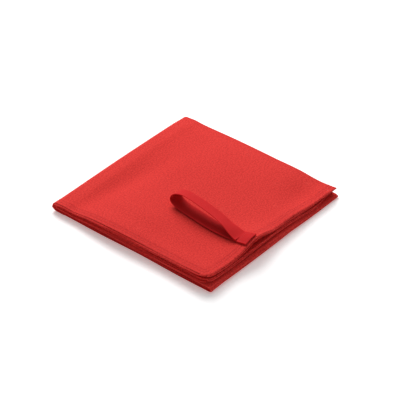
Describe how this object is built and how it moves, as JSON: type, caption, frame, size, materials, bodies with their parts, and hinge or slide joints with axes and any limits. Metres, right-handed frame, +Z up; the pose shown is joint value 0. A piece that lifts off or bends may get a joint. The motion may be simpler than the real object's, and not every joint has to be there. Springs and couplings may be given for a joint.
{
  "type": "fire blanket",
  "caption": "Fire blanket folded to a flat square pack, with a sewn pull loop on its top flap; the upper rows unfold about the back folds and the loop swings up.",
  "frame": {"origin": "centre of the folded pack's box, on the face it rests on", "axes": "+X from the back folds to the free end of the top flap where the loop is sewn, +Y from the side hems to the far folds, +Z up"},
  "size_m": [0.2554, 0.25, 0.0407],
  "materials": {
    "cloth": "matt woven, red",
    "fold": "matt woven, red",
    "hem": "matt woven, turned and stitched",
    "tape": "woven webbing, slight sheen",
    "thread": "twisted sewing thread"
  },
  "bodies": {
    "lower_rows": {"third_row_cloth": "cloth", "third_row_side_hem_outer": "hem", "third_row_side_hem_inner": "hem", "bottom_row_cloth": "cloth", "bottom_row_side_hem_outer": "hem", "bottom_row_side_hem_inner": "hem", "back_fold_1": "fold", "back_fold_2": "fold", "back_fold_3": "fold", "back_fold_4": "fold", "back_fold_5": "fold", "back_fold_6": "fold", "back_fold_7": "fold", "back_fold_8": "fold", "front_fold_1": "fold", "front_fold_2": "fold", "front_fold_3": "fold", "front_fold_4": "fold"},
    "upper_rows": {"top_row_cloth": "cloth", "top_row_end_hem": "hem", "top_row_side_hem_outer": "hem", "top_row_side_hem_inner": "hem", "second_row_cloth": "cloth", "second_row_end_hem": "hem", "second_row_side_hem_outer": "hem", "second_row_side_hem_inner": "hem", "side_hem_thread_outer": "thread", "side_hem_thread_inner": "thread", "end_hem_thread_near_outer": "thread", "end_hem_thread_near_inner": "thread", "end_hem_thread_far_outer": "thread", "end_hem_thread_far_inner": "thread", "loop_box_stitch": "thread", "loop_sewn_end_lower": "tape", "loop_sewn_end_upper": "tape"},
    "pull_loop": {"pull_loop": "tape"}
  },
  "joints": [
    {"name": "unfold", "type": "hinge", "parent": "lower_rows", "child": "upper_rows", "pos_m": [-0.12585, 0, 0.00825], "axis": [0, -1, 0], "range_deg": [0, 150], "deforming": ["back_fold_1", "back_fold_2", "back_fold_3", "back_fold_4", "back_fold_5", "back_fold_6", "back_fold_7", "back_fold_8"]},
    {"name": "loop_swing", "type": "hinge", "parent": "upper_rows", "child": "pull_loop", "pos_m": [0.1055, -0.043, 0.0193], "axis": [0, 1, 0], "range_deg": [0, 120]}
  ]
}
